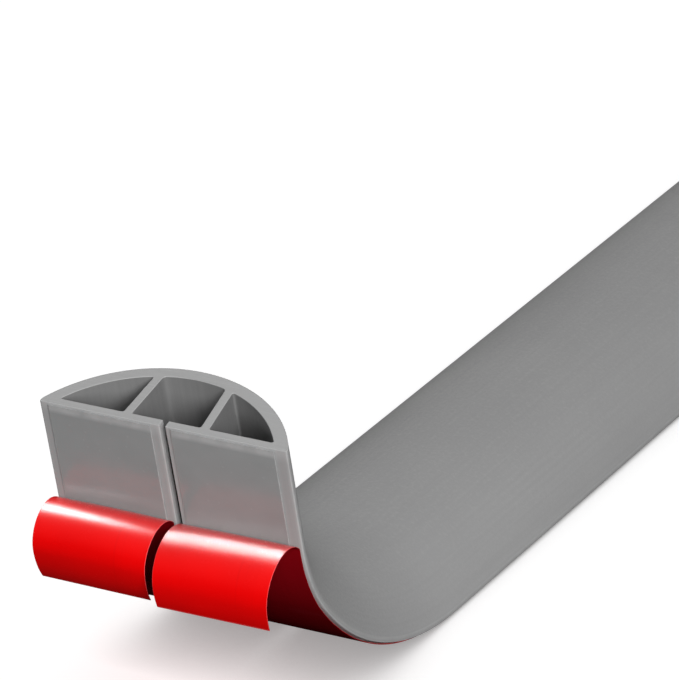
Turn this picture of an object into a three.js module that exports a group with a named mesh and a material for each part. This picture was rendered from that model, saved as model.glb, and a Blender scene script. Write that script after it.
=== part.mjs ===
// Self-adhesive floor cord cover: a hollow D-shaped strip of soft PVC with three cord channels.
// The middle channel opens through a slit in the flat base. A strip of double-sided tape runs
// along each half of the base, and each tape still has its release liner. One end of the strip
// is bent up, and there both liners are peeled back in a curl that leaves the tapes bare.
//
// Millimetres, +Z up. X runs across the strip and +Y along it, from the lifted end to the far
// end. The origin is at the bottom centre of the whole part's box, on the floor it lies on.
import * as THREE from "three";

// The extruded section.
const COVER_WIDTH = 60;
const COVER_HEIGHT = 19.5;
const DOME_WALL = 3;
const BASE_WALL = 2;
const EDGE_HEIGHT = 1; // blunt long edge where the dome meets the base
const DIVIDER_WALL = 2;
const MIDDLE_CHANNEL_WIDTH = 16.8; // between the dividers, at the base
const DIVIDER_LEAN = 0.9; // how far each divider's top stands in from its foot
const SLIT_WIDTH = 1.4;

// The strip's length and its bend, measured along the face of the base.
const STOCK_LENGTH = 1000;
const LIFTED_STRAIGHT = 27;
const TIGHT_BEND_RADIUS = 46;
const TIGHT_BEND_ANGLE = THREE.MathUtils.degToRad(28);
const WIDE_BEND_RADIUS = 90;
const WIDE_BEND_ANGLE = THREE.MathUtils.degToRad(46);

// The tapes and their release liners.
const TAPE_SIDE_MARGIN = 2.1; // bare base on each side of a centred tape
const RIGHT_TAPE_DRIFT = 0.8; // the right tape was laid this much nearer the slit
const TAPE_THICKNESS = 0.3;
const TAPE_END_MARGIN = 0.5; // bare base between each end of the strip and the tape
const LINER_SIDE_MARGIN = 0.4;
const LINER_THICKNESS = 0.2;
const BOND_GAP = 0.05; // clearance between one layer and the next

// The peeled end of each liner.
const BARED_LENGTH = 27; // of tape, from the strip's end to the peel line
const LINER_OVERHANG = 4; // how far the film reached past the strip's end as a pull tab
const PEEL_KINK_RADIUS = 1.6;
const PEEL_KINK_ANGLE = THREE.MathUtils.degToRad(45);
const CURL_ANGLE = THREE.MathUtils.degToRad(135);
const LEFT_CURL_RADIUS = 8;
const RIGHT_CURL_RADIUS = 9.4;
const TAIL_RADIUS = 20; // slight curve of the film below the curl

// Facets of the round stretches.
const DOME_SEGMENTS = 36;
const SIDE_CEILING_SEGMENTS = 10;
const MIDDLE_CEILING_SEGMENTS = 10;
const TIGHT_BEND_STEPS = 9;
const WIDE_BEND_STEPS = 15;
const KINK_STEPS = 5;
const CURL_STEPS = 18;
const TAIL_STEPS = 4;

// Sizes that follow from those above.
const TAPE_OFFSET = BOND_GAP;
const LINER_OFFSET = TAPE_OFFSET + TAPE_THICKNESS + BOND_GAP;
const BASE_FACE_HEIGHT = LINER_OFFSET + LINER_THICKNESS;
const HALF_WIDTH = COVER_WIDTH / 2;
const DOME_RISE = COVER_HEIGHT - EDGE_HEIGHT;
const DOME_RADIUS = (HALF_WIDTH ** 2 + DOME_RISE ** 2) / (2 * DOME_RISE);
const DOME_CENTRE_HEIGHT = COVER_HEIGHT - DOME_RADIUS;
const CEILING_RADIUS = DOME_RADIUS - DOME_WALL;
const LYING_LENGTH =
  STOCK_LENGTH -
  LIFTED_STRAIGHT -
  TIGHT_BEND_RADIUS * TIGHT_BEND_ANGLE -
  WIDE_BEND_RADIUS * WIDE_BEND_ANGLE;
const HALF_BASE_WIDTH = HALF_WIDTH - SLIT_WIDTH / 2; // from the slit to the long edge
const HALF_BASE_CENTRE = SLIT_WIDTH / 2 + HALF_BASE_WIDTH / 2;

// A route in the YZ plane, made of straight and round stretches that run on from each other.
// It sets off towards -Y. A section's x stays across the strip, and its y points to the side
// that the dome is on. Only the stations given are used, so long straights cost no facets.
class Route extends THREE.Curve {
  constructor(y, z) {
    super();
    this.stations = [{ y, z, heading: 0 }];
  }

  last() {
    return this.stations[this.stations.length - 1];
  }

  straight(length) {
    const { y, z, heading } = this.last();
    this.stations.push({
      y: y - length * Math.cos(heading),
      z: z + length * Math.sin(heading),
      heading,
    });
    return this;
  }

  // A positive turn curls towards the dome's side, a negative one away from it.
  bend(radius, turn, steps) {
    const { y, z, heading } = this.last();
    const side = Math.sign(turn) * radius;
    const centreY = y + side * Math.sin(heading);
    const centreZ = z + side * Math.cos(heading);
    for (let step = 1; step <= steps; step += 1) {
      const turned = heading + (turn * step) / steps;
      this.stations.push({
        y: centreY - side * Math.sin(turned),
        z: centreZ - side * Math.cos(turned),
        heading: turned,
      });
    }
    return this;
  }

  // Takes a length off the end of the route.
  cutBack(length) {
    let left = length;
    while (left > 0) {
      const cut = this.stations.pop();
      const kept = this.last();
      const span = Math.hypot(cut.y - kept.y, cut.z - kept.z);
      if (span > left) {
        const share = left / span;
        this.stations.push({
          y: cut.y + (kept.y - cut.y) * share,
          z: cut.z + (kept.z - cut.z) * share,
          heading: cut.heading + (kept.heading - cut.heading) * share,
        });
      }
      left -= span;
    }
    return this;
  }

  steps() {
    return this.stations.length - 1;
  }

  getPointAt(u) {
    const { y, z } = this.stations[Math.round(u * this.steps())];
    return new THREE.Vector3(0, y, z);
  }

  computeFrenetFrames() {
    return {
      tangents: this.stations.map(({ heading: h }) => new THREE.Vector3(0, -Math.cos(h), Math.sin(h))),
      normals: this.stations.map(() => new THREE.Vector3(1, 0, 0)),
      binormals: this.stations.map(({ heading: h }) => new THREE.Vector3(0, Math.sin(h), Math.cos(h))),
    };
  }
}

// The route of a layer that lies the given distance outside the base's face, from the far end
// to the lifted one. Its bends share their centres with the cover's.
function routeUnderBase(offset, endMargin = 0) {
  return new Route(LYING_LENGTH - endMargin, BASE_FACE_HEIGHT - offset)
    .straight(LYING_LENGTH - endMargin)
    .bend(WIDE_BEND_RADIUS + offset, WIDE_BEND_ANGLE, WIDE_BEND_STEPS)
    .bend(TIGHT_BEND_RADIUS + offset, TIGHT_BEND_ANGLE, TIGHT_BEND_STEPS)
    .straight(LIFTED_STRAIGHT)
    .cutBack(endMargin);
}

function sweep(name, shape, route, material) {
  const geometry = new THREE.ExtrudeGeometry(shape, {
    steps: route.steps(),
    extrudePath: route,
    curveSegments: 1,
  });
  const mesh = new THREE.Mesh(geometry, material);
  mesh.name = name;
  return mesh;
}

// Points on an arc about the dome's centre, from one x to another.
function arcPoints(radius, fromX, toX, segments) {
  const fromAngle = Math.asin(fromX / radius);
  const toAngle = Math.asin(toX / radius);
  return Array.from({ length: segments + 1 }, (_, i) => {
    const angle = fromAngle + ((toAngle - fromAngle) * i) / segments;
    return new THREE.Vector2(
      radius * Math.sin(angle),
      DOME_CENTRE_HEIGHT + radius * Math.cos(angle),
    );
  });
}

// Where a divider's face, which starts at footX on the base and leans in, meets the ceiling.
function leaningFaceTopX(footX) {
  let x = footX;
  for (let pass = 0; pass < 6; pass += 1) {
    const height = DOME_CENTRE_HEIGHT + Math.sqrt(CEILING_RADIUS ** 2 - x ** 2);
    const leanShare = (height - BASE_WALL) / (COVER_HEIGHT - DOME_WALL - BASE_WALL);
    x = footX - DIVIDER_LEAN * leanShare;
  }
  return x;
}

// The side channel on the +X side, between its divider and the dome.
function sideChannelPoints() {
  const footX = MIDDLE_CHANNEL_WIDTH / 2 + DIVIDER_WALL;
  const tipX = Math.sqrt(CEILING_RADIUS ** 2 - (BASE_WALL - DOME_CENTRE_HEIGHT) ** 2);
  return [
    new THREE.Vector2(footX, BASE_WALL),
    ...arcPoints(CEILING_RADIUS, leaningFaceTopX(footX), tipX, SIDE_CEILING_SEGMENTS),
  ];
}

// The cover's section. The outline goes round the outside and in through the slit, so the
// middle channel is part of it, and the side channels are holes.
function coverSection() {
  const slitX = SLIT_WIDTH / 2;
  const footX = MIDDLE_CHANNEL_WIDTH / 2;
  const topX = leaningFaceTopX(footX);
  const section = new THREE.Shape([
    new THREE.Vector2(slitX, 0),
    new THREE.Vector2(HALF_WIDTH, 0),
    ...arcPoints(DOME_RADIUS, HALF_WIDTH, -HALF_WIDTH, DOME_SEGMENTS),
    new THREE.Vector2(-HALF_WIDTH, 0),
    new THREE.Vector2(-slitX, 0),
    new THREE.Vector2(-slitX, BASE_WALL),
    new THREE.Vector2(-footX, BASE_WALL),
    ...arcPoints(CEILING_RADIUS, -topX, topX, MIDDLE_CEILING_SEGMENTS),
    new THREE.Vector2(footX, BASE_WALL),
    new THREE.Vector2(slitX, BASE_WALL),
  ]);
  const right = sideChannelPoints();
  const left = right.map(({ x, y }) => new THREE.Vector2(-x, y));
  section.holes.push(new THREE.Path(right), new THREE.Path(left));
  return section;
}

// The section of a film that lies on one half of the base, its upper face on the route. Drift
// is how far it lies off the middle of that half, towards the slit.
function filmSection(side, sideMargin, thickness, drift = 0) {
  const centreX = side * (HALF_BASE_CENTRE - drift);
  const halfFilm = HALF_BASE_WIDTH / 2 - sideMargin;
  const left = centreX - halfFilm;
  const right = centreX + halfFilm;
  return new THREE.Shape([
    new THREE.Vector2(left, -thickness),
    new THREE.Vector2(right, -thickness),
    new THREE.Vector2(right, 0),
    new THREE.Vector2(left, 0),
  ]);
}

function coverProfile() {
  const pvc = new THREE.MeshStandardMaterial({ color: 0x868686, roughness: 0.55, metalness: 0 });
  return sweep("cover_profile", coverSection(), routeUnderBase(0), pvc);
}

function tape(name, side, drift) {
  const adhesive = new THREE.MeshStandardMaterial({ color: 0x7d7b79, roughness: 0.3, metalness: 0 });
  const section = filmSection(side, TAPE_SIDE_MARGIN, TAPE_THICKNESS, drift);
  return sweep(name, section, routeUnderBase(TAPE_OFFSET, TAPE_END_MARGIN), adhesive);
}

// A release liner: it follows the tape as far as the peel line, then turns off the tape, curls
// over outwards and hangs down. The film that hangs once covered the tape that is now bare.
function liner(name, side, curlRadius) {
  const film = new THREE.MeshStandardMaterial({ color: 0xe00008, roughness: 0.15, metalness: 0 });
  const peeledLength = BARED_LENGTH + LINER_OVERHANG;
  const tailLength = peeledLength - PEEL_KINK_RADIUS * PEEL_KINK_ANGLE - curlRadius * CURL_ANGLE;
  const route = routeUnderBase(LINER_OFFSET)
    .cutBack(BARED_LENGTH)
    .bend(PEEL_KINK_RADIUS, -PEEL_KINK_ANGLE, KINK_STEPS)
    .bend(curlRadius, -CURL_ANGLE, CURL_STEPS)
    .bend(TAIL_RADIUS, -tailLength / TAIL_RADIUS, TAIL_STEPS);
  return sweep(name, filmSection(side, LINER_SIDE_MARGIN, LINER_THICKNESS), route, film);
}

const part = new THREE.Group();
part.add(
  coverProfile(),
  tape("tape_left", -1, 0),
  tape("tape_right", 1, RIGHT_TAPE_DRIFT),
  liner("liner_left", -1, LEFT_CURL_RADIUS),
  liner("liner_right", 1, RIGHT_CURL_RADIUS),
);

const box = new THREE.Box3().setFromObject(part);
const centre = box.getCenter(new THREE.Vector3());
part.position.set(-centre.x, -centre.y, -box.min.z);

export default part;
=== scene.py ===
# %% [markdown]
# # A floor cord cover, dressed around its CAD frame
# The object is one strip of soft PVC, 60 mm wide and a metre long, with a strip of adhesive
# tape and a red release liner under each half of its base. It could be modelled by eye and
# fitted afterwards, but the CAD frame holds the true sizes. So everything is made in metres
# and in the frame's own coordinates: X runs across the strip, +Y along it from the lifted end
# to the far end, and Z is up. The frame's box is kept, because the looks may not make the
# object any bigger.

# %% Load the frame
import math

import bpy
import numpy as np
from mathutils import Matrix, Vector
from mathutils.geometry import tessellate_polygon


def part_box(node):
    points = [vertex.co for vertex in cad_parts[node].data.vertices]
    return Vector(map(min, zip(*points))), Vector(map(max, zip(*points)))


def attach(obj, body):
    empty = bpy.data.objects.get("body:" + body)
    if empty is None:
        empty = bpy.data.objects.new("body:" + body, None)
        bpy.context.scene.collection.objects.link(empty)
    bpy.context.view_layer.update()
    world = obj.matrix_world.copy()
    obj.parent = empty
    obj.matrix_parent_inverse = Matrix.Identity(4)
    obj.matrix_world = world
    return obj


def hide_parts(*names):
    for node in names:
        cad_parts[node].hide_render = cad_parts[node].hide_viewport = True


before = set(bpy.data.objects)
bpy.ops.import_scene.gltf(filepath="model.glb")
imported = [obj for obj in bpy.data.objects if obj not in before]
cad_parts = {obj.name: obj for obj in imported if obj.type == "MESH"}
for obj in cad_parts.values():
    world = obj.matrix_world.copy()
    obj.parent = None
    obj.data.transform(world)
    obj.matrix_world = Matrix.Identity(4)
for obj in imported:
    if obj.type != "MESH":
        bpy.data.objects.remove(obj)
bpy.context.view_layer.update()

print("nodes:", sorted(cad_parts))

# %% [markdown]
# ## The camera
# A picture of a long thin thing is usually taken from far away with a long lens, so that the
# near end doesn't look swollen. The camera could be placed by eye, but a target, two angles
# and a distance are easier to change: the camera backs off from the target along a line at an
# azimuth and an elevation, and looks back down that line.

# %% Place the camera
CAMERA_TARGET = Vector((0.05214, -0.49565, 0.11046))
CAMERA_AZIMUTH = math.radians(27.0)
CAMERA_ELEVATION = math.radians(23.09)
CAMERA_DISTANCE = 1.3375
CAMERA_LENS = 344.1
CAMERA_SIGHT = 100

backwards = Vector((
    math.sin(CAMERA_AZIMUTH) * math.cos(CAMERA_ELEVATION),
    -math.cos(CAMERA_AZIMUTH) * math.cos(CAMERA_ELEVATION),
    math.sin(CAMERA_ELEVATION),
))
camera_data = bpy.data.cameras.new("camera")
camera_data.lens = CAMERA_LENS
camera_data.clip_end = CAMERA_SIGHT
camera = bpy.data.objects.new("camera", camera_data)
camera.location = CAMERA_TARGET + CAMERA_DISTANCE * backwards
camera.rotation_euler = backwards.to_track_quat("Z", "Y").to_euler()
bpy.context.scene.collection.objects.link(camera)
bpy.context.scene.camera = camera
print("camera stands at", [round(x, 3) for x in camera.location])

# %% [markdown]
# ## The route of the strip
# The strip lies flat for most of its length, then rises in a wide bend, a tighter bend and a
# short straight. Such a route could be a Blender curve with a bevel, but a curve can't carry a
# section with holes. Here it is a list of distances along the strip and the heading at each,
# and the points follow from those two: between neighbours the route is a chord that points
# halfway between the two headings. On an arc that is exact, so the piece fits the CAD solid.

# %% Name the sizes of the route
MM = 0.001
LENGTH = 1000 * MM
LIFTED_STRAIGHT = 27 * MM
TIGHT_RADIUS, TIGHT_ANGLE = 46 * MM, math.radians(28)
WIDE_RADIUS, WIDE_ANGLE = 90 * MM, math.radians(46)
LYING = LENGTH - LIFTED_STRAIGHT - TIGHT_RADIUS * TIGHT_ANGLE - WIDE_RADIUS * WIDE_ANGLE
WIDE_END = LYING + WIDE_RADIUS * WIDE_ANGLE
TIGHT_END = WIDE_END + TIGHT_RADIUS * TIGHT_ANGLE
BASE_FACE_HEIGHT = 0.6 * MM
FAR_END_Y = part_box("cover_profile")[1].y
print("ends of the stretches in mm:", [round(x / MM, 1) for x in (LYING, WIDE_END, TIGHT_END)])


# %% Helpers that lay out a route
def heading_at(distance):
    """The rise of the route above level, in radians, at distances from the far end. It turns
    evenly with distance in each bend, so it is a line through the three ends of stretches."""
    return np.interp(
        distance, [LYING, WIDE_END, TIGHT_END], [0, WIDE_ANGLE, WIDE_ANGLE + TIGHT_ANGLE]
    )


def follow(distance, heading, start_y, start_z):
    """Points along a route. A step of length d that turns by a moves 2 sin(a/2) d/a towards
    the heading at its middle; the points are the running sums of those moves."""
    turn = np.diff(heading, axis=0)
    chord = np.diff(distance, axis=0) * np.sinc(turn / (2 * np.pi))
    middle = heading[:-1] + turn / 2
    still = np.zeros_like(heading[:1])
    y = start_y - np.concatenate([still, np.cumsum(chord * np.cos(middle), axis=0)])
    z = start_z + np.concatenate([still, np.cumsum(chord * np.sin(middle), axis=0)])
    return y, z


def stations(*stretches):
    """Distances along a route: each stretch is an end and a number of even steps to it."""
    marks = [np.zeros(1)]
    for end, steps in stretches:
        marks.append(np.linspace(marks[-1][-1], end, steps + 1)[1:])
    return np.concatenate(marks)


def off_route(x, height, y, z, heading):
    """Points x across the strip and a height above its base face: the route's own point, moved
    by the height towards the dome's side, which is (0, sin h, cos h) for a heading h."""
    return np.stack([x, y + height * np.sin(heading), z + height * np.cos(heading)], axis=-1)


# %% Measure where the route ends
marks = stations((LYING, 1), (WIDE_END, 40), (TIGHT_END, 30), (LENGTH, 1))
end_y, end_z = follow(marks, heading_at(marks), FAR_END_Y, BASE_FACE_HEIGHT)
print("base edge at the lifted end: y %.4f z %.4f" % (end_y[-1], end_z[-1]))

# %% [markdown]
# ## From a profile to a mesh
# An extruder pushes soft PVC through a steel plate with the section cut in it, so every point
# of the section draws a line along the whole strip. A Bevel or Screw modifier could do some of
# this, but neither knows a hole or a UV in metres. So the mesh is made as the strip was: a
# ring of section points is carried along the route, and neighbouring rings are joined by
# quads. The ends are closed by filling the section, with its holes left open.


# %% Helpers that join rings by quads
def ring_quads(rings, points, first):
    """Quads of a tube: point j of ring i, then j + 1 of ring i, j + 1 of ring i + 1 and j of
    ring i + 1, where the point after the last is the first."""
    i, j = np.meshgrid(np.arange(rings - 1), np.arange(points), indexing="ij")
    after = (j + 1) % points
    corners = [i * points + j, i * points + after, (i + 1) * points + after, (i + 1) * points + j]
    return first + np.stack(corners, axis=-1).reshape(-1, 4)


def ring_uv(along, around):
    """The UV of those quads' corners: distance along the route, and distance round the ring."""
    i, j = np.meshgrid(np.arange(len(along) - 1), np.arange(len(around) - 1), indexing="ij")
    u = np.stack([along[i], along[i], along[i + 1], along[i + 1]], axis=-1)
    v = np.stack([around[j], around[j + 1], around[j + 1], around[j]], axis=-1)
    return np.stack([u, v], axis=-1).reshape(-1, 2)


# %% Helpers that measure a loop of points
RIM_FROM, RIM_FULL = 2, 9


def girth(loop):
    """Distance round a closed loop from its first point, ending back at that point."""
    closed = np.vstack([loop, loop[:1]])
    return np.concatenate([[0], np.cumsum(np.hypot(*np.diff(closed, axis=0).T))])


def outward(loop):
    """Unit normals to the right of the way round a loop, each from the chord between its two
    neighbours (dx, dy) turned to (dy, -dx)."""
    chord = np.roll(loop, -1, axis=0) - np.roll(loop, 1, axis=0)
    normal = np.column_stack([chord[:, 1], -chord[:, 0]])
    return normal / np.linalg.norm(normal, axis=1, keepdims=True)


def turning(loop):
    """How sharply a loop turns at each point, as a rim value: 0 up to RIM_FROM degrees, and 1
    from RIM_FULL degrees."""
    way = np.roll(loop, -1, axis=0) - loop
    angle = np.arctan2(way[:, 1], way[:, 0])
    turn = np.degrees(np.abs((angle - np.roll(angle, 1) + np.pi) % (2 * np.pi) - np.pi))
    return np.clip((turn - RIM_FROM) / (RIM_FULL - RIM_FROM), 0, 1)


def fill(loops, facing):
    """Triangles over a section with holes, as numbers of its points, all with the sign of
    area that makes the cap face along the route (1) or against it (-1)."""
    flat = np.vstack(loops)
    triangles = np.array(
        tessellate_polygon([[Vector((x, y, 0)) for x, y in loop] for loop in loops])
    )
    a, b, c = (flat[triangles[:, k]] for k in range(3))
    area = (b[:, 0] - a[:, 0]) * (c[:, 1] - a[:, 1]) - (c[:, 0] - a[:, 0]) * (b[:, 1] - a[:, 1])
    triangles[area * facing < 0] = triangles[area * facing < 0][:, ::-1]
    return triangles[np.abs(area) > 0]


# %% [markdown]
# ### What a piece carries besides its points
# The UV map says how far along the strip and how far round it a place is, in metres. The rim
# value says where the piece would be rubbed and where its edges get a painted highlight. Both
# could be painted by hand, but here they are worked out with the mesh and stored in it.


# %% Helpers that make a piece
SHARP_ANGLE = math.radians(28)


def new_piece(name, points, rim, faces, uv, materials, material_numbers):
    """A mesh object from whole arrays. Its edges stay sharp where faces meet at more than
    SHARP_ANGLE, and the rest is shaded smooth."""
    mesh = bpy.data.meshes.new(name)
    mesh.from_pydata(points.tolist(), [], faces)
    mesh.uv_layers.new(name="strip_uv").data.foreach_set("uv", uv.astype(np.float32).ravel())
    mesh.polygons.foreach_set("material_index", material_numbers)
    mesh.attributes.new("rim", "FLOAT", "POINT").data.foreach_set("value", rim)
    for material in materials:
        mesh.materials.append(material)
    mesh.shade_smooth()
    mesh.set_sharp_from_angle(angle=SHARP_ANGLE)
    mesh.validate()
    mesh.update()
    piece = bpy.data.objects.new(name, mesh)
    bpy.context.scene.collection.objects.link(piece)
    triangles = sum(len(face) - 2 for face in faces)
    print(name, len(points), "points,", triangles, "triangles")
    return piece


def tube(loop, along, first, last_material, second):
    """The rim values, quads, UVs and material numbers of one loop's tube. A side of the loop
    has the mean of its two points' normals. The rim value is 1 on the two rings at each end."""
    rim = np.repeat(turning(loop)[None], len(along), axis=0)
    rim[[0, 1, -2, -1]] = 1
    after = np.roll(loop, -1, axis=0)
    normals = (outward(loop) + outward(after)) / 2
    side = second((loop + after) / 2, normals) if second else np.zeros(len(loop))
    number = np.repeat(side.astype(int)[None], len(along) - 1, axis=0)
    number[[0, -1]] = last_material
    quads = ring_quads(len(along), len(loop), first)
    return rim.ravel(), quads, ring_uv(along, girth(loop)), number.ravel()


def extruded(name, loops, place, along, materials, second=None):
    """Carries the loops of a section along a route and caps both ends. place(loop) gives the
    rings in space. The tubes take the first material, and their end rings and the caps take
    the last. Where second(middles, normals) is true of a side, it takes the second."""
    last_material = len(materials) - 1
    firsts = np.cumsum([0] + [len(along) * len(loop) for loop in loops[:-1]])
    points = np.vstack([place(loop).reshape(-1, 3) for loop in loops])
    tubes = [tube(loop, along, first, last_material, second) for loop, first in zip(loops, firsts)]
    rims, quads, uvs, numbers = (list(parts) for parts in zip(*tubes))
    faces = [face for block in quads for face in block.tolist()]
    for ring, facing in ((0, -1), (len(along) - 1, 1)):
        corners = [first + (ring * len(loop)) + np.arange(len(loop))
                   for loop, first in zip(loops, firsts)]
        triangles = fill(loops, facing)
        faces += np.concatenate(corners)[triangles].tolist()
        uvs.append(np.vstack(loops)[triangles.ravel()])
        numbers.append(np.full(len(triangles), last_material))
    return new_piece(
        name, points, np.concatenate(rims), faces, np.vstack(uvs), materials,
        np.concatenate(numbers),
    )


# %% [markdown]
# ## The section of the strip
# The real section is a low dome on a flat base, with two leaning dividers that leave a middle
# channel, open through a slit, and a closed channel on each side. It could be cut from a solid
# dome with booleans, but they leave ragged faces along a bend. A die has no sharp inner
# corners either, so each corner is rounded: each side of the outline is a run of points, the
# runs are trimmed at the corners, and a parabola that aims at the old corner joins their ends.

# %% Name the sizes of the section
HALF_WIDTH = 30 * MM
HEIGHT = 19.5 * MM
EDGE_HEIGHT = 1 * MM
DOME_WALL = 3 * MM
BASE_WALL = 2 * MM
DIVIDER_WALL = 2 * MM
DIVIDER_LEAN = 0.9 * MM
CHANNEL_HALF = 8.4 * MM
SLIT_HALF = 0.7 * MM
DOME_RISE = HEIGHT - EDGE_HEIGHT
DOME_RADIUS = (HALF_WIDTH ** 2 + DOME_RISE ** 2) / (2 * DOME_RISE)
DOME_CENTRE = HEIGHT - DOME_RADIUS
CEILING_RADIUS = DOME_RADIUS - DOME_WALL
print("dome radius %.2f mm about a point at %.2f mm" % (DOME_RADIUS / MM, DOME_CENTRE / MM))


# %% Helpers that draw an outline
def arc(radius, from_x, to_x, count):
    """Points (r sin a, c + r cos a) on a circle about the dome's centre, c high."""
    angle = np.linspace(math.asin(from_x / radius), math.asin(to_x / radius), count)
    return np.column_stack([radius * np.sin(angle), DOME_CENTRE + radius * np.cos(angle)])


def line(start, end, count=2):
    """Even points from one end of a straight side to the other."""
    return np.linspace(start, end, count)


def rounded_outline(sides, cuts, corner_steps=5):
    """Joins runs of points into one loop. cuts[k] is how far the corner between run k - 1 and
    run k eats into both; the corner is (1-t)^2 A + 2t(1-t) C + t^2 B, with C the old corner.
    Points stand closer near the corners: point k of n is at the share (1 - cos(pi k/n)) / 2."""
    kept = []
    for k, side in enumerate(sides):
        length = np.concatenate([[0], np.cumsum(np.hypot(*np.diff(side, axis=0).T))])
        ease = (1 - np.cos(np.linspace(0, np.pi, len(side)))) / 2
        marks = cuts[k] + (length[-1] - cuts[(k + 1) % len(sides)] - cuts[k]) * ease
        kept.append(np.column_stack([np.interp(marks, length, side[:, n]) for n in (0, 1)]))
    loop = []
    t = np.linspace(0, 1, corner_steps + 1)[1:-1, None]
    for k, side in enumerate(kept):
        before, corner, after = kept[k - 1][-1], sides[k][0], side[0]
        loop += [(1 - t) ** 2 * before + 2 * t * (1 - t) * corner + t ** 2 * after, side]
    return np.vstack(loop)


def divider_top(foot):
    """Where a divider's face meets the ceiling: its x is the foot's x less the lean times the
    share of the clear height, worked out again from each new height until it settles."""
    x = foot
    for _ in range(6):
        height = DOME_CENTRE + math.sqrt(CEILING_RADIUS ** 2 - x ** 2)
        x = foot - DIVIDER_LEAN * (height - BASE_WALL) / (HEIGHT - DOME_WALL - BASE_WALL)
    return x


# %% Draw the outline with its open middle channel
top = divider_top(CHANNEL_HALF)
ceiling = arc(CEILING_RADIUS, -top, top, 30)
dome = arc(DOME_RADIUS, HALF_WIDTH, -HALF_WIDTH, 90)
body_sides = [
    line((SLIT_HALF, 0), (HALF_WIDTH, 0), 12),
    line((HALF_WIDTH, 0), (HALF_WIDTH, EDGE_HEIGHT)),
    dome,
    line((-HALF_WIDTH, EDGE_HEIGHT), (-HALF_WIDTH, 0)),
    line((-HALF_WIDTH, 0), (-SLIT_HALF, 0), 12),
    line((-SLIT_HALF, 0), (-SLIT_HALF, BASE_WALL)),
    line((-SLIT_HALF, BASE_WALL), (-CHANNEL_HALF, BASE_WALL), 4),
    line((-CHANNEL_HALF, BASE_WALL), ceiling[0], 6),
    ceiling,
    line(ceiling[-1], (CHANNEL_HALF, BASE_WALL), 6),
    line((CHANNEL_HALF, BASE_WALL), (SLIT_HALF, BASE_WALL), 4),
    line((SLIT_HALF, BASE_WALL), (SLIT_HALF, 0)),
]
body_cuts = np.array([0.25, 0.3, 0.45, 0.45, 0.3, 0.25, 0.25, 0.6, 0.9, 0.9, 0.6, 0.25]) * MM
body_loop = rounded_outline(body_sides, body_cuts)
print("middle channel: %.1f mm wide at its foot, %.1f mm at its top" % (
    2 * CHANNEL_HALF / MM, 2 * top / MM))

# %% Draw the side channels
side_foot = CHANNEL_HALF + DIVIDER_WALL
side_tip = math.sqrt(CEILING_RADIUS ** 2 - (BASE_WALL - DOME_CENTRE) ** 2)
side_ceiling = arc(CEILING_RADIUS, divider_top(side_foot), side_tip, 26)
side_sides = [
    line((side_foot, BASE_WALL), side_ceiling[0], 6),
    side_ceiling,
    line(side_ceiling[-1], (side_foot, BASE_WALL), 8),
]
side_cuts = np.array([0.6, 0.8, 0.8]) * MM
right_channel = rounded_outline(side_sides, side_cuts)
left_channel = right_channel[::-1] * [-1, 1]
section = [body_loop, right_channel, left_channel]
print("section points:", [len(loop) for loop in section])

# %% [markdown]
# ## Effects that several finishes share
# Soft PVC, adhesive and film are made and age in the same ways: all have faint lines along
# their length and a fine grain, and most are paler along their edges, partly rubbed and partly
# a painted highlight. Each material could hold its own copy of such an effect, but a node group
# is built once, with its scale and strength as inputs. It puts out plain values, and each
# material decides what they do.

# %% Short helpers for node trees
NOISE_RANGE = (0.3, 0.7)


def add_node(tree, kind, links=(), **settings):
    """A new node. links are (input, value) pairs, where a value may be another node's output."""
    node = tree.nodes.new(kind)
    for key, value in settings.items():
        setattr(node, key, value)
    for socket, value in links:
        if isinstance(value, bpy.types.NodeSocket):
            tree.links.new(value, node.inputs[socket])
        else:
            node.inputs[socket].default_value = value
    return node


def math_node(tree, operation, *values):
    """The result of a Math node on up to three numbers or outputs."""
    node = add_node(tree, "ShaderNodeMath", list(enumerate(values)), operation=operation)
    return node.outputs[0]


def noise(tree, vector, scale, detail, roughness=0.5):
    """The value of a Noise texture. Nearly all of it lies in NOISE_RANGE."""
    links = [("Vector", vector), ("Scale", scale), ("Detail", detail), ("Roughness", roughness)]
    return add_node(tree, "ShaderNodeTexNoise", links).outputs[0]


def ranged(tree, value, from_low, from_high, low=0.0, high=1.0):
    """A value moved from one range to another, and held inside it."""
    links = [("Value", value), ("From Min", from_low), ("From Max", from_high),
             ("To Min", low), ("To Max", high)]
    return add_node(tree, "ShaderNodeMapRange", links).outputs[0]


def new_group(name, inputs, outputs):
    """An empty group with its named sockets: the group, the values that come in, and the
    sockets that lead out."""
    group = bpy.data.node_groups.new(name, "ShaderNodeTree")
    for socket, kind, value in inputs:
        made = group.interface.new_socket(socket, in_out="INPUT", socket_type="NodeSocket" + kind)
        if value is not None:
            made.default_value = value
    for socket in outputs:
        group.interface.new_socket(socket, in_out="OUTPUT", socket_type="NodeSocketFloat")
    print("group", name, "gives", outputs)
    inlet, outlet = group.nodes.new("NodeGroupInput"), group.nodes.new("NodeGroupOutput")
    return group, inlet.outputs, outlet.inputs


# %% [markdown]
# ### Fine grain
# The skin of PVC, glue and film is a field of tiny bumps. A picture of one could be laid on,
# but noise in Object coordinates keeps its size in metres and has no seams.

# %% The fine grain group
# Height = 2/3 of this sum: noise at the given scale, plus half of a noise four times finer.
grain_group, given, result = new_group(
    "fine_grain", [("Vector", "Vector", None), ("Scale", "Float", 2000.0)], ["Height"]
)
coarse = noise(grain_group, given["Vector"], given["Scale"], 3.0)
finer_scale = math_node(grain_group, "MULTIPLY", given["Scale"], 4.0)
fine = noise(grain_group, given["Vector"], finer_scale, 2.0)
both = math_node(grain_group, "MULTIPLY_ADD", fine, 0.5, coarse)
grain_group.links.new(math_node(grain_group, "MULTIPLY", both, 0.667), result["Height"])

# %% [markdown]
# ### Drawn lines
# Whatever is drawn through a die or over a roller gets faint lines along its length. They could
# be a Wave texture, but real ones differ in width and fade in and out. So they are a noise that
# is stretched along the strip, and its highest peaks alone are a few scratches.

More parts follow.
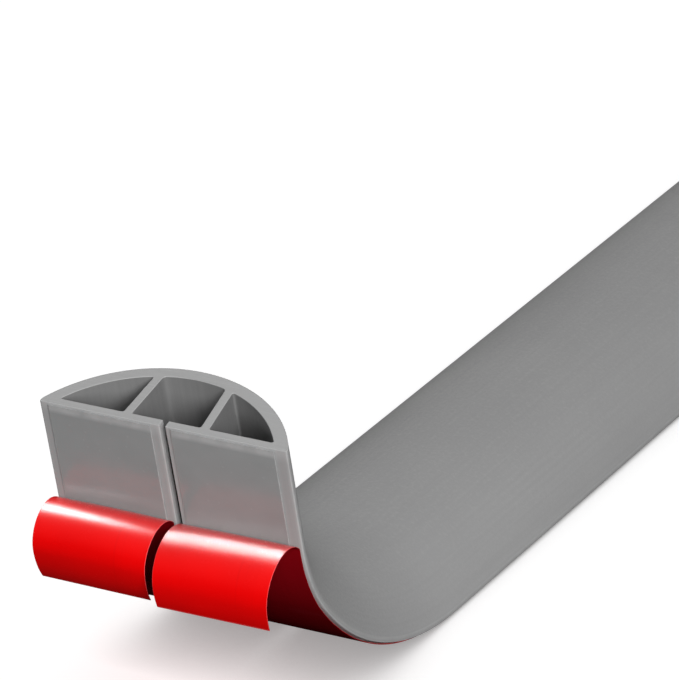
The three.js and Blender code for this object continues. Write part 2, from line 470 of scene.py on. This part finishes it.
# %% The drawn lines group
# Lines = noise of the UV, whose first number, the way along the strip, is shrunk by Stretch.
# Scratches = how far those lines reach from 0.62 to 0.72.
lines_group, given, result = new_group(
    "drawn_lines",
    [("UV", "Vector", None), ("Lines per metre", "Float", 900.0), ("Stretch", "Float", 0.01)],
    ["Lines", "Scratches"],
)
parts = add_node(lines_group, "ShaderNodeSeparateXYZ", [(0, given["UV"])])
slow = math_node(lines_group, "MULTIPLY", parts.outputs[0], given["Stretch"])
drawn = add_node(lines_group, "ShaderNodeCombineXYZ", [(0, slow), (1, parts.outputs[1])])
lines = noise(lines_group, drawn.outputs[0], given["Lines per metre"], 4.0)
lines_group.links.new(lines, result["Lines"])
lines_group.links.new(ranged(lines_group, lines, 0.62, 0.72), result["Scratches"])

# %% [markdown]
# ### Soft patches
# No dyed plastic is one tone all over. A hand-made map could say where it is deeper, but a
# broad noise does as well on a piece with no marked places.

# %% The soft patches group
# Patches = broad noise, spread so that it uses the whole range from 0 to 1.
patches_group, given, result = new_group(
    "soft_patches", [("Vector", "Vector", None), ("Scale", "Float", 25.0)], ["Patches"]
)
broad = noise(patches_group, given["Vector"], given["Scale"], 2.0)
patches_group.links.new(ranged(patches_group, broad, *NOISE_RANGE), result["Patches"])

# %% [markdown]
# ### Rubbed rims, with painted edge highlights
# Corners and cut edges rub pale, and the same pale rim is a painted highlight where the edges
# catch the light. The Pointiness of a surface could find them, but it depends on how fine the
# mesh is. The mesh's own rim value knows them exactly: 1 on the corners of the section and at
# the cut ends, and 0 elsewhere.

# %% The rubbed rim group
# Mask = the rim value, times a noise from 0.4 to 1 that breaks it up, times Amount. It lifts
# the rims for wear and as a painted edge highlight.
RIM_BREAKS = 220.0
rim_group, given, result = new_group(
    "rim_wear_and_painted_highlight", [("Vector", "Vector", None), ("Amount", "Float", 0.5)], ["Mask"]
)
rim_value = add_node(rim_group, "ShaderNodeAttribute", attribute_name="rim")
broken = ranged(rim_group, noise(rim_group, given["Vector"], RIM_BREAKS, 4.0), 0.25, 0.6, 0.4)
wear_and_glint = math_node(rim_group, "MULTIPLY", rim_value.outputs["Fac"], broken)
rim_group.links.new(math_node(rim_group, "MULTIPLY", wear_and_glint, given["Amount"]), result["Mask"])

# %% [markdown]
# ### Settled dust
# Dust lies on what faces up. It could be loose specks of mesh, but at this size it is only a
# paler speckle in the colour.

# %% The settled dust group
# Mask = how far the surface faces up, (normal z - 0.3) / 0.7, times speckles, times Amount.
DUST_GRAIN = 900.0
dust_group, given, result = new_group(
    "settled_dust", [("Vector", "Vector", None), ("Amount", "Float", 0.3)], ["Mask"]
)
surface = add_node(dust_group, "ShaderNodeNewGeometry")
upright = add_node(dust_group, "ShaderNodeSeparateXYZ", [(0, surface.outputs["Normal"])])
facing_up = ranged(dust_group, upright.outputs[2], 0.3, 1.0)
speckles = ranged(dust_group, noise(dust_group, given["Vector"], DUST_GRAIN, 6.0, 0.7), 0.5, 0.72)
settled = math_node(dust_group, "MULTIPLY", facing_up, speckles)
dust_group.links.new(math_node(dust_group, "MULTIPLY", settled, given["Amount"]), result["Mask"])

# %% [markdown]
# ## The finishes
# Each finish starts as a Principled BSDF with its constants set on its own sockets. A pattern
# that stays with the solid, such as grain, reads Object coordinates in metres, so a scale of
# 1000 means about one bump a millimetre. A pattern that follows the strip round its bend, such
# as drawn lines, reads the UV map that the extruded meshes carry, also in metres.


# %% Helpers for the finishes
MICRON = 0.001 * MM


def grey(level):
    """A neutral colour."""
    return (level, level, level)


class Finish:
    """A new material: its tree, its shader, and short ways to place groups and mix colours.
    A socket's name is written with _ for each space."""

    def __init__(self, name, **sockets):
        self.material = bpy.data.materials.new(name)
        self.material.use_nodes = True
        self.tree = self.material.node_tree
        self.shader = self.tree.nodes["Principled BSDF"]
        for socket, value in sockets.items():
            self.shader.inputs[socket.replace("_", " ")].default_value = value
        coordinates = add_node(self.tree, "ShaderNodeTexCoord")
        self.place = coordinates.outputs["Object"]
        self.uv = coordinates.outputs["UV"]

    def group(self, group, **sockets):
        """The outputs of a shared group, placed here with its own values."""
        links = [(socket.replace("_", " "), value) for socket, value in sockets.items()]
        return add_node(self.tree, "ShaderNodeGroup", links, node_tree=group).outputs

    def mix(self, factor, low, high):
        """A colour between two, where each may be three numbers or another colour output."""
        low, high = (c if isinstance(c, bpy.types.NodeSocket) else (*c, 1) for c in (low, high))
        links = [(0, factor), (6, low), (7, high)]
        return add_node(self.tree, "ShaderNodeMix", links, data_type="RGBA").outputs[2]

    def spread(self, value, low, high, from_low=0.0, from_high=1.0):
        """A value moved from one range to another."""
        return ranged(self.tree, value, from_low, from_high, low, high)

    def bumps(self, *layers):
        """Bump nodes one after another, from (height output, depth in metres) pairs."""
        normal = None
        for height, depth in layers:
            links = [("Height", height), ("Distance", depth)]
            if normal is not None:
                links.append(("Normal", normal))
            normal = add_node(self.tree, "ShaderNodeBump", links).outputs[0]
        self.wire("Normal", normal)

    def wire(self, socket, value):
        """Leads a value or colour to a socket of the shader."""
        self.tree.links.new(value, self.shader.inputs[socket])

    def finished(self):
        """The material, ready for a mesh."""
        print("finish", self.material.name, "has", len(self.tree.nodes), "nodes")
        return self.material


# %% [markdown]
# ### Grey PVC, as it leaves the die
# Soft PVC is evenly dyed and has a satin skin: the die leaves faint lines along it, and the
# cooling bath a fine orange-peel grain. One flat grey would look dead on a long plain surface.
# So its grey is two close tones mixed by broad patches, a little deeper in the lines, paler
# on its rims, where wear and a painted edge highlight both lift it, and under a trace of dust.

# %% Grey PVC skin
skin = Finish("grey_pvc_skin", Specular_IOR_Level=0.4)
skin_lines = skin.group(lines_group, UV=skin.uv, Lines_per_metre=1100.0)
skin_grain = skin.group(grain_group, Vector=skin.place, Scale=1500.0)
skin_patches = skin.group(patches_group, Vector=skin.place, Scale=22.0)
skin_rim_wear_and_highlight = skin.group(rim_group, Vector=skin.place, Amount=0.55)
skin_dust = skin.group(dust_group, Vector=skin.place, Amount=0.12)
in_lines = skin.spread(skin_lines["Lines"], 0.0, 0.5, 0.35, 0.75)
tone = skin.mix(skin_patches["Patches"], (0.232, 0.232, 0.233), grey(0.25))
tone = skin.mix(in_lines, tone, (0.215, 0.215, 0.216))
# Paler rims: rubbed wear, and a painted highlight where the edges catch the light.
tone = skin.mix(skin_rim_wear_and_highlight["Mask"], tone, grey(0.36))
tone = skin.mix(skin_dust["Mask"], tone, (0.5, 0.49, 0.47))
skin.wire("Base Color", tone)
skin.wire("Roughness", skin.spread(skin_grain["Height"], 0.42, 0.62, *NOISE_RANGE))
skin.bumps((skin_lines["Lines"], 20 * MICRON), (skin_grain["Height"], 30 * MICRON))
pvc_skin = skin.finished()

# %% [markdown]
# ### Grey PVC, where it was cut
# A blade leaves the end a little lighter and duller than the skin, with fine drag lines that
# all run one way. They could be cut into the mesh, but they are too shallow for it, so they
# are a bump. The caps' UV is the section's own x and y, so the lines run across it unaided.

# %% Grey PVC cut face
cut = Finish("grey_pvc_cut", Specular_IOR_Level=0.3)
cut_lines = cut.group(lines_group, UV=cut.uv, Lines_per_metre=2600.0, Stretch=0.03)
cut_grain = cut.group(grain_group, Vector=cut.place, Scale=2500.0)
tone = cut.mix(cut_lines["Lines"], grey(0.255), grey(0.295))
tone = cut.mix(cut.spread(cut_lines["Scratches"], 0.0, 0.4), tone, grey(0.33))
cut.wire("Base Color", tone)
cut.wire("Roughness", cut.spread(cut_grain["Height"], 0.55, 0.75, *NOISE_RANGE))
cut.bumps((cut_lines["Lines"], 30 * MICRON), (cut_grain["Height"], 20 * MICRON))
pvc_cut = cut.finished()

# %% [markdown]
# ### Grey PVC, inside the channels, with painted shade
# Nothing polishes the inside of the channels: the die's core leaves it matt. Its deeper grey is
# painted shade, as hardly any light gets in. The skin could be used here too, but it would come
# out too pale. This finish keeps the drawn lines and the grain, in darker tones for that shade.

# %% Grey PVC inside the channels
inside = Finish("grey_pvc_painted_channel_shade", Specular_IOR_Level=0.15)
inside_lines = inside.group(lines_group, UV=inside.uv, Lines_per_metre=800.0)
inside_grain = inside.group(grain_group, Vector=inside.place, Scale=1800.0)
# The two dark greys are painted shade for the channels' depth.
inside.wire("Base Color", inside.mix(inside_lines["Lines"], grey(0.12), grey(0.15)))
inside.wire("Roughness", inside.spread(inside_grain["Height"], 0.6, 0.8, *NOISE_RANGE))
inside.bumps((inside_lines["Lines"], 30 * MICRON), (inside_grain["Height"], 20 * MICRON))
pvc_painted_channel_shade = inside.finished()

# %% [markdown]
# ### The adhesive
# The tape is a clear acrylic glue on a carrier, so the grey of the base shows through it, a
# little darker because it is wet to the eye. It could be see-through, but that would be slow
# and show the same grey. It is smoother than the PVC, so it mirrors the curls softly, with
# swellings where it was pressed on, and tiny bubbles, each the middle of a Voronoi cell.

# %% Tape glue
glue = Finish("tape_glue", Specular_IOR_Level=0.5)
glue_patches = glue.group(patches_group, Vector=glue.place, Scale=120.0)
glue_lines = glue.group(lines_group, UV=glue.uv, Lines_per_metre=500.0, Stretch=0.05)
glue_grain = glue.group(grain_group, Vector=glue.place, Scale=900.0)
glue_rim_highlight_and_wear = glue.group(rim_group, Vector=glue.place, Amount=0.6)
cells = add_node(glue.tree, "ShaderNodeTexVoronoi", [("Vector", glue.place), ("Scale", 420.0)])
bubbles = glue.spread(cells.outputs["Distance"], 1.0, 0.0, 0.05, 0.16)
tone = glue.mix(glue_patches["Patches"], (0.187, 0.192, 0.192), (0.2, 0.206, 0.206))
tone = glue.mix(glue.spread(bubbles, 0.0, 0.25), tone, grey(0.26))
# Paler rims: a painted highlight along the tape's edges, with some rubbed wear.
tone = glue.mix(glue_rim_highlight_and_wear["Mask"], tone, grey(0.34))
glue.wire("Base Color", tone)
glue.wire("Roughness", glue.spread(glue_patches["Patches"], 0.13, 0.21))
glue.bumps(
    (glue_lines["Lines"], 6 * MICRON), (glue_grain["Height"], 6 * MICRON), (bubbles, 10 * MICRON)
)
tape_glue = glue.finished()

# %% [markdown]
# ### The red film, its face
# The liner is a dyed plastic film. The face that lay on the glue has a glossy silicone coat,
# and it is what a peeled curl shows. A plain glossy red could stand for it, but a clear coat
# over red gives the white, soft-edged highlight of such a film without greying its colour.

# %% Film face
face = Finish(
    "liner_film_face", Specular_IOR_Level=0.1, Coat_Weight=1.0, Coat_Roughness=0.3, Coat_IOR=1.7
)
face_lines = face.group(lines_group, UV=face.uv, Lines_per_metre=700.0, Stretch=0.02)
face_patches = face.group(patches_group, Vector=face.place, Scale=60.0)
face_grain = face.group(grain_group, Vector=face.place, Scale=700.0)
face_painted_glint = face.group(rim_group, Vector=face.place, Amount=0.6)
in_scratches = face.spread(face_lines["Scratches"], 0.0, 0.12)
tone = face.mix(face_patches["Patches"], (0.78, 0.0005, 0.0008), (0.86, 0.0006, 0.001))
tone = face.mix(in_scratches, tone, (0.5, 0.0008, 0.001))
# Pinkish-white rims: a painted glint where the film's edges catch the light.
tone = face.mix(face_painted_glint["Mask"], tone, (0.95, 0.14, 0.15))
face.wire("Base Color", tone)
face.wire("Roughness", face.spread(face_grain["Height"], 0.2, 0.3, *NOISE_RANGE))
face.bumps((face_lines["Lines"], 8 * MICRON), (face_patches["Patches"], 40 * MICRON))
film_face = face.finished()

# %% [markdown]
# ### The red film, its back
# The back, which lies on the floor, is deeper and duller than the face, with paler patches
# across it where the film came off the tape. One material could tell the sides apart by
# Backfacing, but the film has a thickness here, so the mesh gives each side its own material.
# The patches are drawn lines too, on a UV turned by a quarter.

# %% Film back
back = Finish("liner_film_back", Specular_IOR_Level=0.1)
back_lines = back.group(lines_group, UV=back.uv, Lines_per_metre=500.0, Stretch=0.02)
quarter_turn = [("Vector", back.uv), ("Rotation", (0, 0, math.radians(90)))]
turned_uv = add_node(back.tree, "ShaderNodeMapping", quarter_turn).outputs[0]
bridges = back.group(lines_group, UV=turned_uv, Lines_per_metre=55.0, Stretch=0.25)
back_grain = back.group(grain_group, Vector=back.place, Scale=1200.0)
tone = back.mix(back_lines["Lines"], (0.18, 0.001, 0.004), (0.23, 0.002, 0.006))
tone = back.mix(back.spread(bridges["Scratches"], 0.0, 0.3), tone, (0.4, 0.05, 0.07))
back.wire("Base Color", tone)
back.wire("Roughness", back.spread(back_grain["Height"], 0.4, 0.55, *NOISE_RANGE))
back.bumps((back_lines["Lines"], 10 * MICRON), (bridges["Lines"], 100 * MICRON))
film_back = back.finished()

# %% [markdown]
# ## The strip
# The real strip comes off the extruder as one endless piece and is cut square. It could be a
# straight mesh bent by a Curve modifier, but a curve's handles only come near a true arc. Here
# the section is carried along the whole route. Rings stand close in the bends, where the
# surface turns, and far apart where it is straight. The first and last ring are drawn in, so
# that the cut rim has a narrow facet that catches the light.

# %% Lay out the rings of the strip
CUT_RIM = 0.12 * MM
strip_marks = stations(
    (CUT_RIM, 1), (LYING, 60), (WIDE_END, 56), (TIGHT_END, 40), (LENGTH - CUT_RIM, 8), (LENGTH, 1)
)
strip_heading = heading_at(strip_marks)
strip_y, strip_z = follow(strip_marks, strip_heading, FAR_END_Y, BASE_FACE_HEIGHT)
print(len(strip_marks), "rings along the strip")


# %% Carry the section along the route
HAIR = 0.01 * MM


def place_section(loop):
    """Ring i stands at the route's point i, with the section's x across the strip and its y
    above the base face. The end rings are the loop less the cut rim along its normals."""
    rings = np.repeat(loop[None], len(strip_marks), axis=0)
    rings[0] = rings[-1] = loop - outward(loop) * CUT_RIM
    route = (way[:, None] for way in (strip_y, strip_z, strip_heading))
    return off_route(rings[..., 0], rings[..., 1], *route)


def in_a_channel(middles, normals):
    """True of the sides that bound a channel: they lie nearer the dome's centre than the
    ceiling does, above the base wall's upper face, give or take a hair."""
    reach = np.hypot(middles[:, 0], middles[:, 1] - DOME_CENTRE)
    return (reach < CEILING_RADIUS + HAIR) & (middles[:, 1] > BASE_WALL - HAIR)


cover = extruded(
    "cover", section, place_section, strip_marks, [pvc_skin, pvc_painted_channel_shade, pvc_cut], in_a_channel
)
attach(cover, "root")
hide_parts("cover_profile")

# %% [markdown]
# ## The tapes
# A strip of double-sided tape is pressed on to each half of the base, the right one a little
# off centre. It could be a flat plane just under the base, but then it would have no edge to
# catch the light. So it is a closed film 0.3 mm thick with rounded edges, carried along the
# strip's route. A hair's breadth of air stands in for the bond.

# %% Name the sizes of the tapes
BOND_GAP = 0.05 * MM
TAPE_THICKNESS = 0.3 * MM
TAPE_SIDE_MARGIN = 2.1 * MM
TAPE_END_MARGIN = 0.5 * MM
RIGHT_TAPE_DRIFT = 0.8 * MM
END_RING = 0.05 * MM
HALF_BASE = HALF_WIDTH - SLIT_HALF
HALF_BASE_CENTRE = SLIT_HALF + HALF_BASE / 2
print("each tape is %.1f mm wide" % ((HALF_BASE - 2 * TAPE_SIDE_MARGIN) / MM))


# %% Lay the tapes
def film_loop(left, right, thickness, columns):
    """A film's section below its upper face: a thin rectangle with rounded edges."""
    sides = [
        line((left, -thickness), (right, -thickness), columns),
        line((right, -thickness), (right, 0)),
        line((right, 0), (left, 0), columns),
        line((left, 0), (left, -thickness)),
    ]
    return rounded_outline(sides, np.full(4, 0.45 * thickness), 4)


def lay_tape(name, side, drift):
    """A tape from end to end of one half of the base, centred on it but for the drift. It lies
    the bond gap below the base face, and is placed off the route as the section is."""
    centre = side * (HALF_BASE_CENTRE - drift)
    half = HALF_BASE / 2 - TAPE_SIDE_MARGIN
    loop = film_loop(centre - half, centre + half, TAPE_THICKNESS, 24)
    reach = LENGTH - 2 * TAPE_END_MARGIN
    marks = TAPE_END_MARGIN + stations(
        (END_RING, 1), (LYING, 40), (WIDE_END, 40), (TIGHT_END, 30), (reach, 24)
    )
    heading = heading_at(marks)
    y, z = follow(marks, heading, FAR_END_Y - TAPE_END_MARGIN, BASE_FACE_HEIGHT)

    def place(ring):
        x = np.broadcast_to(ring[:, 0], (len(marks), len(ring)))
        return off_route(x, ring[:, 1] - BOND_GAP, y[:, None], z[:, None], heading[:, None])

    tape = extruded(name, [loop], place, marks, [tape_glue])
    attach(tape, "root")
    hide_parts(name.replace("_band", ""))
    return tape


tapes = [
    lay_tape("tape_left_band", -1, 0),
    lay_tape("tape_right_band", 1, RIGHT_TAPE_DRIFT),
]

# %% [markdown]
# ## The release liners
# A liner keeps the glue clean until the strip is laid. It is one springy film from end to end:
# it follows the tape as far as the peel line, leaves it in a tight kink, and curls forward.
# Cloth simulation could curl it, but a springy film takes a plain shape: its heading falls at
# a nearly steady rate. So each point of its width has a route of its own, and the rate at
# which it bends is named at a few distances. The two films fell a little differently.

# %% Name the sizes of the liners
LINER_OFFSET = 0.4 * MM
LINER_THICKNESS = 0.2 * MM
LINER_SIDE_MARGIN = 0.4 * MM
LYING_TUCK = 0.8 * MM
BARED = 27 * MM
OVERHANG = 4 * MM
PEEL_LINE = LENGTH - BARED
PEEL_STEPS = 120
KINK_RATE, KINK_END = 0.62, 1.2
LEFT_CURL_RATE, LEFT_CURL_END = 0.125, 20
RIGHT_CURL_RATE, RIGHT_CURL_END = 0.106, 23
TIP_RATE, PAST_TIP = 0.05, 40
on_tape = stations((END_RING, 1), (LYING, 40), (WIDE_END, 40), (PEEL_LINE, 16))
peel_share = np.linspace(0, 1, PEEL_STEPS + 1)[1:, None]
print("curl radii %.1f and %.1f mm" % (1 / LEFT_CURL_RATE, 1 / RIGHT_CURL_RATE))


# %% Helpers that curl a film
def bend_rates(rate, end):
    """The distances from the peel line at which the bend rate changes, and the rates there, in
    millimetres and 1/mm: the kink, the curl at its own rate as far as its end, and the tip."""
    knots = [0, KINK_END, KINK_END + 0.1, end, end + 1, PAST_TIP]
    return knots, [KINK_RATE, KINK_RATE, rate, rate, TIP_RATE, TIP_RATE]


def film_route(rates, skew, across):
    """Distance, heading, y and z of a film, with a column for each point of its section. Up to
    the peel line the heading is the strip's. Past it, it falls by the running sum of the bend
    rate times the step. skew is how much further each side of the film reaches, in mm."""
    peeled = peel_share * (BARED + OVERHANG + (skew[0] * (1 - across) + skew[1] * across) * MM)
    rate = np.interp(peeled / MM, *rates) / MM
    fall = np.cumsum(rate * np.diff(peeled, axis=0, prepend=0), axis=0)
    distance = np.vstack([np.repeat(on_tape[:, None], len(across), axis=1), PEEL_LINE + peeled])
    lying = np.repeat(heading_at(on_tape)[:, None], len(across), axis=1)
    heading = np.vstack([lying, lying[-1] - fall])
    return distance, heading, *follow(distance, heading, FAR_END_Y, BASE_FACE_HEIGHT)


# %% Lay the liners
def lay_liner(name, side, rates, skew, taper, crown, lean):
    """A liner whose peeled end curls. At the share s of the peeled part its width is less by
    the taper times s^2, and it stands proud by sin^2(pi s^0.6) times a hump: the crown in its
    middle, 0 at its sides, and the lean added from one side to the other, both in mm. Where it
    lies, its outer side is tucked in, by LYING_TUCK before the bends and by 0 at the peel line,
    so that no red line shows beside the strip."""
    centre = side * HALF_BASE_CENTRE
    half = HALF_BASE / 2 - LINER_SIDE_MARGIN
    loop = film_loop(centre - half, centre + half, LINER_THICKNESS, 40)
    across = (loop[:, 0] - centre) / (2 * half) + 0.5
    distance, heading, y, z = film_route(rates, skew, across)
    crowned = np.zeros_like(heading)
    hump = crown * (1 - (2 * across - 1) ** 2) + lean * (across - 0.5)
    crowned[len(on_tape):] = hump * MM * np.sin(np.pi * peel_share ** 0.6) ** 2
    outer = across if side > 0 else 1 - across
    tuck = np.interp(on_tape, [LYING, PEEL_LINE], [LYING_TUCK, 0])[:, None] * outer * side

    def place(ring):
        x = np.repeat(ring[None, :, 0], len(heading), axis=0)
        x[:len(on_tape)] -= tuck
        x[len(on_tape):] -= peel_share ** 2 * (ring[:, 0] - (centre - half)) * taper
        return off_route(x, ring[:, 1] - LINER_OFFSET + crowned, y, z, heading)

    def is_back(middles, normals):
        """True of the side away from the tape and of the two long edges."""
        return normals[:, 1] < 0.5

    liner = extruded(
        name, [loop], place, distance[:, 0], [film_face, film_back, film_face], is_back
    )
    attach(liner, "root")
    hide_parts(name.replace("_film", ""))
    return liner


liners = [
    lay_liner(
        "liner_left_film", -1, bend_rates(LEFT_CURL_RATE, LEFT_CURL_END),
        skew=(-1.9, -1.5), taper=0.06, crown=0.45, lean=0.0,
    ),
    lay_liner(
        "liner_right_film", 1, bend_rates(RIGHT_CURL_RATE, RIGHT_CURL_END),
        skew=(-1.5, -1.9), taper=0.04, crown=0.3, lean=0.9,
    ),
]

# %% [markdown]
# ## The table
# The picture is taken on a white table that is lit so brightly that it nearly burns out, with
# only a soft shade left where the strip comes down to it. A photographer gets this with lamps
# for the table and flags that keep its glare off the product. Here the table does both: the
# camera sees it white, and every other ray meets a dark table, so that it doesn't fill in the
# shade under the lifted end. The white is part paint and part glow. The glow is weaker where
# an Ambient Occlusion node finds something close above, as under any real thing.

# %% Lay the table
TABLE_REACH = 40
table_mesh = bpy.data.meshes.new("table")
corners = TABLE_REACH * np.array([(-1, -1, 0), (1, -1, 0), (1, 1, 0), (-1, 1, 0)], float)
table_mesh.from_pydata(corners.tolist(), [], [(0, 1, 2, 3)])
table = bpy.data.objects.new("table", table_mesh)
bpy.context.scene.collection.objects.link(table)
print("the table reaches", TABLE_REACH, "m each way")

# %% Make the table white to the camera
# Glow = TABLE_GLOW times (1 - SHADE_DEPTH + SHADE_DEPTH times the openness from 0 to 1).
TABLE_WHITE = 0.8
TABLE_ROUGHNESS = 0.5
TABLE_SPECULAR = 0.2
TABLE_GLOW = 0.84
TABLE_UNSEEN = 0.04
SHADE_REACH = 0.018
SHADE_DEPTH = 0.65
table_top = bpy.data.materials.new("table_top")
table_top.use_nodes = True
tree = table_top.node_tree
seen = tree.nodes["Principled BSDF"]
seen.inputs["Base Color"].default_value = (*grey(TABLE_WHITE), 1)
seen.inputs["Roughness"].default_value = TABLE_ROUGHNESS
seen.inputs["Specular IOR Level"].default_value = TABLE_SPECULAR
seen.inputs["Emission Color"].default_value = (1, 1, 1, 1)
openness = add_node(tree, "ShaderNodeAmbientOcclusion", [("Distance", SHADE_REACH)], samples=8)
full, least = TABLE_GLOW * SHADE_DEPTH, TABLE_GLOW * (1 - SHADE_DEPTH)
glow = math_node(tree, "MULTIPLY_ADD", openness.outputs["AO"], full, least)
tree.links.new(glow, seen.inputs["Emission Strength"])
unseen = add_node(tree, "ShaderNodeBsdfDiffuse", [("Color", (*grey(TABLE_UNSEEN), 1))])
ray = add_node(tree, "ShaderNodeLightPath")
either = add_node(
    tree, "ShaderNodeMixShader",
    [(0, ray.outputs["Is Camera Ray"]), (1, unseen.outputs[0]), (2, seen.outputs[0])],
)
tree.links.new(either.outputs[0], tree.nodes["Material Output"].inputs["Surface"])
table_mesh.materials.append(table_top)
print("the table's glow runs from %.2f to %.2f" % (least, least + full))

# %% [markdown]
# ## The light
# A lamp near a long thing lights a patch of the table and leaves the rest grey. One big soft
# lamp for everything could be tried, but then nothing can be changed alone. So each lamp is
# linked to what it is for, as a flag does on a real set, and a lamp that shouldn't be mirrored
# is hidden from glossy rays.


# %% Helpers for lamps
def only_on(name, pieces):
    """A collection that a lamp is linked to, so that it lights these pieces alone."""
    lit = bpy.data.collections.new(name)
    for piece in pieces:
        lit.objects.link(piece)
    return lit


def hang(name, kind, power, place, target, lit, mirrored=True):
    """A lamp of a kind that shines from its place towards a target, both in metres."""
    lamp = bpy.data.lights.new(name, kind)
    lamp.energy = power
    light = bpy.data.objects.new(name, lamp)
    light.location = place
    away = Vector(place) - Vector(target)
    light.rotation_euler = away.to_track_quat("Z", "Y").to_euler()
    light.visible_camera = False
    light.visible_glossy = mirrored
    light.light_linking.receiver_collection = lit
    bpy.context.scene.collection.objects.link(light)
    print(name, "at", place, "with power", power)
    return light


def soft_box(name, place, target, width, height, power, lit, mirrored=True):
    """A rectangular lamp."""
    light = hang(name, "AREA", power, place, target, lit, mirrored)
    light.data.shape = "RECTANGLE"
    light.data.size, light.data.size_y = width, height
    return light


LIFTED_END = (0, -0.47, 0.05)
on_table = only_on("lit_table", [table])
on_strip = only_on("lit_strip", [cover, *tapes, *liners])
on_base = only_on("lit_base", [cover, *tapes])

# %% [markdown]
# ### Light on the table
# The table has a broad sun of its own. It is as strong everywhere, and its wide angle still
# gives the strip a soft shade. Light that falls on the films comes off them red. Tracing that
# bounce would be slow and grainy, so a weak red lamp without a shadow stands in for it.

# %% Hang the lamps of the table
sun = hang("table_sun", "SUN", 0.32, (0.2, -0.6, 3), (0, 0, 0), on_table, mirrored=False)
sun.data.angle = math.radians(60)
red_bounce = soft_box(
    "red_bounce", (-0.02, -0.475, 0.03), (-0.025, -0.45, 0), 0.07, 0.04, 0.0035, on_table,
    mirrored=False,
)
red_bounce.data.color = (1, 0.03, 0.03)
red_bounce.data.use_shadow = False

# %% [markdown]
# ### Light on the strip
# The strip has soft boxes: one in front, high enough that the curls shade what is under them,
# a weak one above, one low on the right that keeps the long dome an even grey, and two behind
# for the other views. The base at the lifted end faces forward and down, where a high box
# gives little. A low one lights it, and only the cover shades it.

# %% Hang the lamps of the strip
for name, place, target, width, height, power, mirrored in (
    ("front_box", (0.98, -1.56, 0.75), LIFTED_END, 0.9, 0.6, 36, False),
    ("top_box", (-0.8, -0.15, 0.9), LIFTED_END, 0.8, 0.6, 3, True),
    ("right_box", (1.8, 0.3, 0.32), (0, -0.25, 0), 1.4, 0.6, 3, True),
    ("left_fill", (-1.6, 0.6, 0.7), (0, -0.1, 0), 1.2, 0.8, 22, False),
    ("back_fill", (0.4, 2.3, 0.6), (0, -0.1, 0), 1.2, 0.8, 26, False),
):
    soft_box(name, place, target, width, height, power, on_strip, mirrored)
base_fill = soft_box("base_fill", (0.5, -1.95, 0.3), LIFTED_END, 0.8, 0.4, 11, on_base, False)
base_fill.light_linking.blocker_collection = only_on("shades_base", [cover])

# %% [markdown]
# ### The bands in the films
# A glossy curl shows a white band where it mirrors a lamp. A lamp that is right for the band
# is wrong for the rest of the strip, so each film has one that only its gloss sees: a broad
# one on the right, and a small one close by on the left, whose band ends halfway. The lamps
# fade towards their edges, because an evenly lit box would draw a hard-edged band.


# %% Hang the lamps that are seen in the films
def gloss_box(name, place, target, width, height, power, film):
    """A soft box that is only seen in the gloss of one film and that nothing shades. Its light
    is 4u(1-u) * 4v(1-v) of the full strength, with u and v from 0 to 1 over the box."""
    light = soft_box(name, place, target, width, height, power, only_on(name, [film]))
    light.visible_diffuse = False
    light.data.use_shadow = False
    light.data.cycles.use_multiple_importance_sampling = False
    light.data.use_nodes = True
    tree = light.data.node_tree
    surface = add_node(tree, "ShaderNodeNewGeometry")
    over_box = add_node(tree, "ShaderNodeSeparateXYZ", [(0, surface.outputs["Parametric"])])
    falls = []
    for position in over_box.outputs[:2]:
        rest = math_node(tree, "SUBTRACT", 1.0, position)
        both = math_node(tree, "MULTIPLY", position, rest)
        falls.append(math_node(tree, "MULTIPLY", both, 4.0))
    strength = math_node(tree, "MULTIPLY", *falls)
    tree.links.new(strength, tree.nodes["Emission"].inputs["Strength"])


gloss_box(
    "left_gloss_box", (-0.064, -0.462, 0.115), (-0.028, -0.49, 0.045), 0.035, 0.07, 0.17, liners[0]
)
gloss_box("right_gloss_box", (-0.48, -0.03, 1.0), LIFTED_END, 1.0, 0.8, 33, liners[1])

# %% [markdown]
# ### The room
# A studio's walls and ceiling send back a little light from everywhere, more from above. An
# evenly grey world could stand for it, but a rise from the edge to the top keeps the dome's
# shape. The camera sees plain white beyond the table, and glossy rays see a dimmer room, so
# that the films stay deep red beside their bands.

# %% Light the world
# Strength = SKY_EDGE to SKY_TOP as the direction's z goes from 0 to SKY_FULL, times
# SKY_IN_GLOSS for glossy rays, and 1 for the camera's.
SKY_EDGE = 0.06
SKY_TOP = 0.22
SKY_FULL = 0.8
SKY_IN_GLOSS = 0.3
world = bpy.data.worlds.new("studio")
bpy.context.scene.world = world
world.use_nodes = True
tree = world.node_tree
coordinates = add_node(tree, "ShaderNodeTexCoord")
direction = add_node(tree, "ShaderNodeSeparateXYZ", [(0, coordinates.outputs["Generated"])])
sky = ranged(tree, direction.outputs[2], 0.0, SKY_FULL, SKY_EDGE, SKY_TOP)
mirrored_sky = math_node(tree, "MULTIPLY", sky, SKY_IN_GLOSS)
ray = add_node(tree, "ShaderNodeLightPath")
unseen_sky = add_node(
    tree, "ShaderNodeMix", [(0, ray.outputs["Is Glossy Ray"]), (2, sky), (3, mirrored_sky)]
)
strength = add_node(
    tree, "ShaderNodeMix",
    [(0, ray.outputs["Is Camera Ray"]), (2, unseen_sky.outputs[0]), (3, 1.0)],
)
tree.links.new(strength.outputs[0], tree.nodes["Background"].inputs["Strength"])
tree.nodes["Background"].inputs["Color"].default_value = (1, 1, 1, 1)
bpy.context.scene.view_settings.view_transform = "Standard"
print("the room's light runs from", SKY_EDGE, "to", SKY_TOP)
